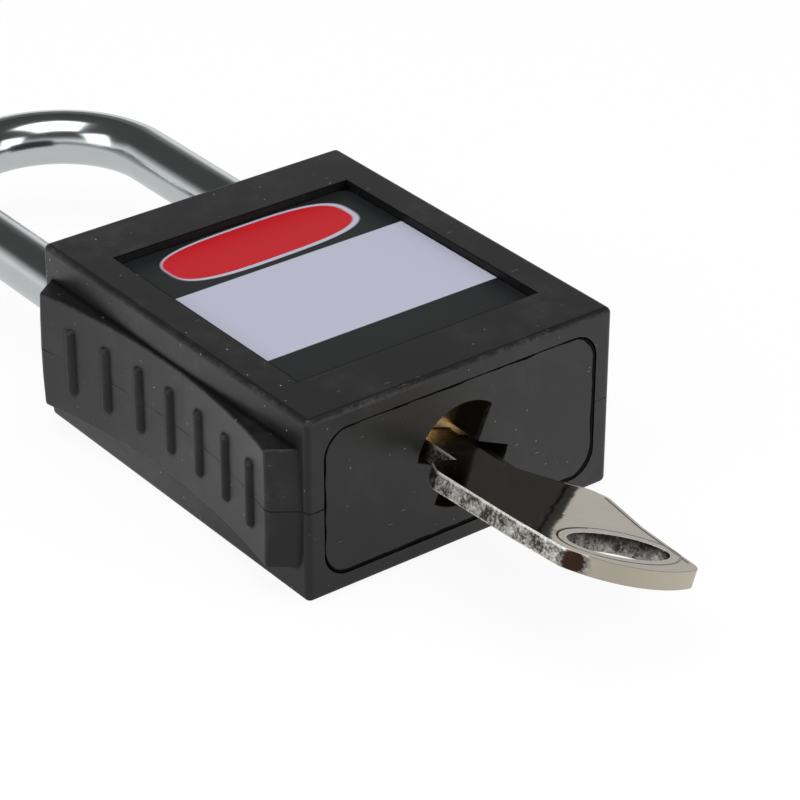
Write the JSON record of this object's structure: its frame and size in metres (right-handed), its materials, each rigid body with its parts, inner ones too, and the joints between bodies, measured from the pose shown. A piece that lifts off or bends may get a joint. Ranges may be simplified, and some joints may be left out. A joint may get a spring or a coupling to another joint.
{
  "type": "lockout padlock",
  "caption": "Lockout padlock with a moulded body and ribbed grip, a tall bent shackle, and a key that turns in its keyhole and draws out.",
  "frame": {"origin": "centre of the flat back face that the padlock lies on", "axes": "+Y towards the shackle, -Y out of the keyhole along the key, +Z out of the label side, +X to the right as the label is seen with the shackle up; the ribbed grip is on the -X side"},
  "size_m": [0.0407, 0.1195, 0.0204],
  "materials": {
    "shell_nylon": "moulded, satin",
    "cover_nylon": "moulded, satin",
    "label_film": "printed film in plain fields of colour",
    "shackle_steel": "plated, polished",
    "frame_casting": "as cast",
    "cam_casting": "as cast",
    "lock_brass": "machined",
    "plug_brass": "machined",
    "wafer_brass": "stamped",
    "key_nickel": "nickel plated, tumbled",
    "bolt_steel": "ground",
    "spring_steel": "drawn wire"
  },
  "bodies": {
    "housing": {"body_shell": "shell_nylon", "bottom_cover": "cover_nylon", "label": "label_film", "lock_frame": "frame_casting", "lock_cylinder": "lock_brass", "heel_pin": "bolt_steel", "cylinder_pin": "bolt_steel", "latch_spring_left": "spring_steel", "latch_spring_right": "spring_steel"},
    "shackle": {"shackle": "shackle_steel"},
    "plug": {"plug": "plug_brass", "plug_ring": "spring_steel", "cam_shaft": "cam_casting", "wafer_1": "wafer_brass", "wafer_2": "wafer_brass", "wafer_3": "wafer_brass", "wafer_4": "wafer_brass", "wafer_5": "wafer_brass", "wafer_spring_1": "spring_steel", "wafer_spring_2": "spring_steel", "wafer_spring_3": "spring_steel", "wafer_spring_4": "spring_steel", "wafer_spring_5": "spring_steel"},
    "key": {"key": "key_nickel"},
    "latch_left": {"latch_bolt_left": "bolt_steel"},
    "latch_right": {"latch_bolt_right": "bolt_steel"}
  },
  "joints": [
    {"name": "shackle_lift", "type": "slide", "parent": "housing", "child": "shackle", "axis": [0, 1, 0], "range_m": [0, 0.012]},
    {"name": "key_turn", "type": "hinge", "parent": "housing", "child": "plug", "pos_m": [0, 0, 0.0102], "axis": [0, 1, 0], "range_deg": [0, 90]},
    {"name": "key_withdraw", "type": "slide", "parent": "plug", "child": "key", "axis": [0, -1, 0], "range_m": [0, 0.03]},
    {"name": "latch_left_slide", "type": "slide", "parent": "housing", "child": "latch_left", "axis": [-1, 0, 0], "range_m": [0, 0.0015], "deforming": ["latch_spring_left"]},
    {"name": "latch_right_slide", "type": "slide", "parent": "housing", "child": "latch_right", "axis": [1, 0, 0], "range_m": [0, 0.0015], "deforming": ["latch_spring_right"]}
  ],
  "couplings": [
    {"joint": "latch_left_slide", "follows": "key_turn", "m_per_rad": 0.00095493},
    {"joint": "latch_right_slide", "follows": "key_turn", "m_per_rad": 0.00095493}
  ]
}
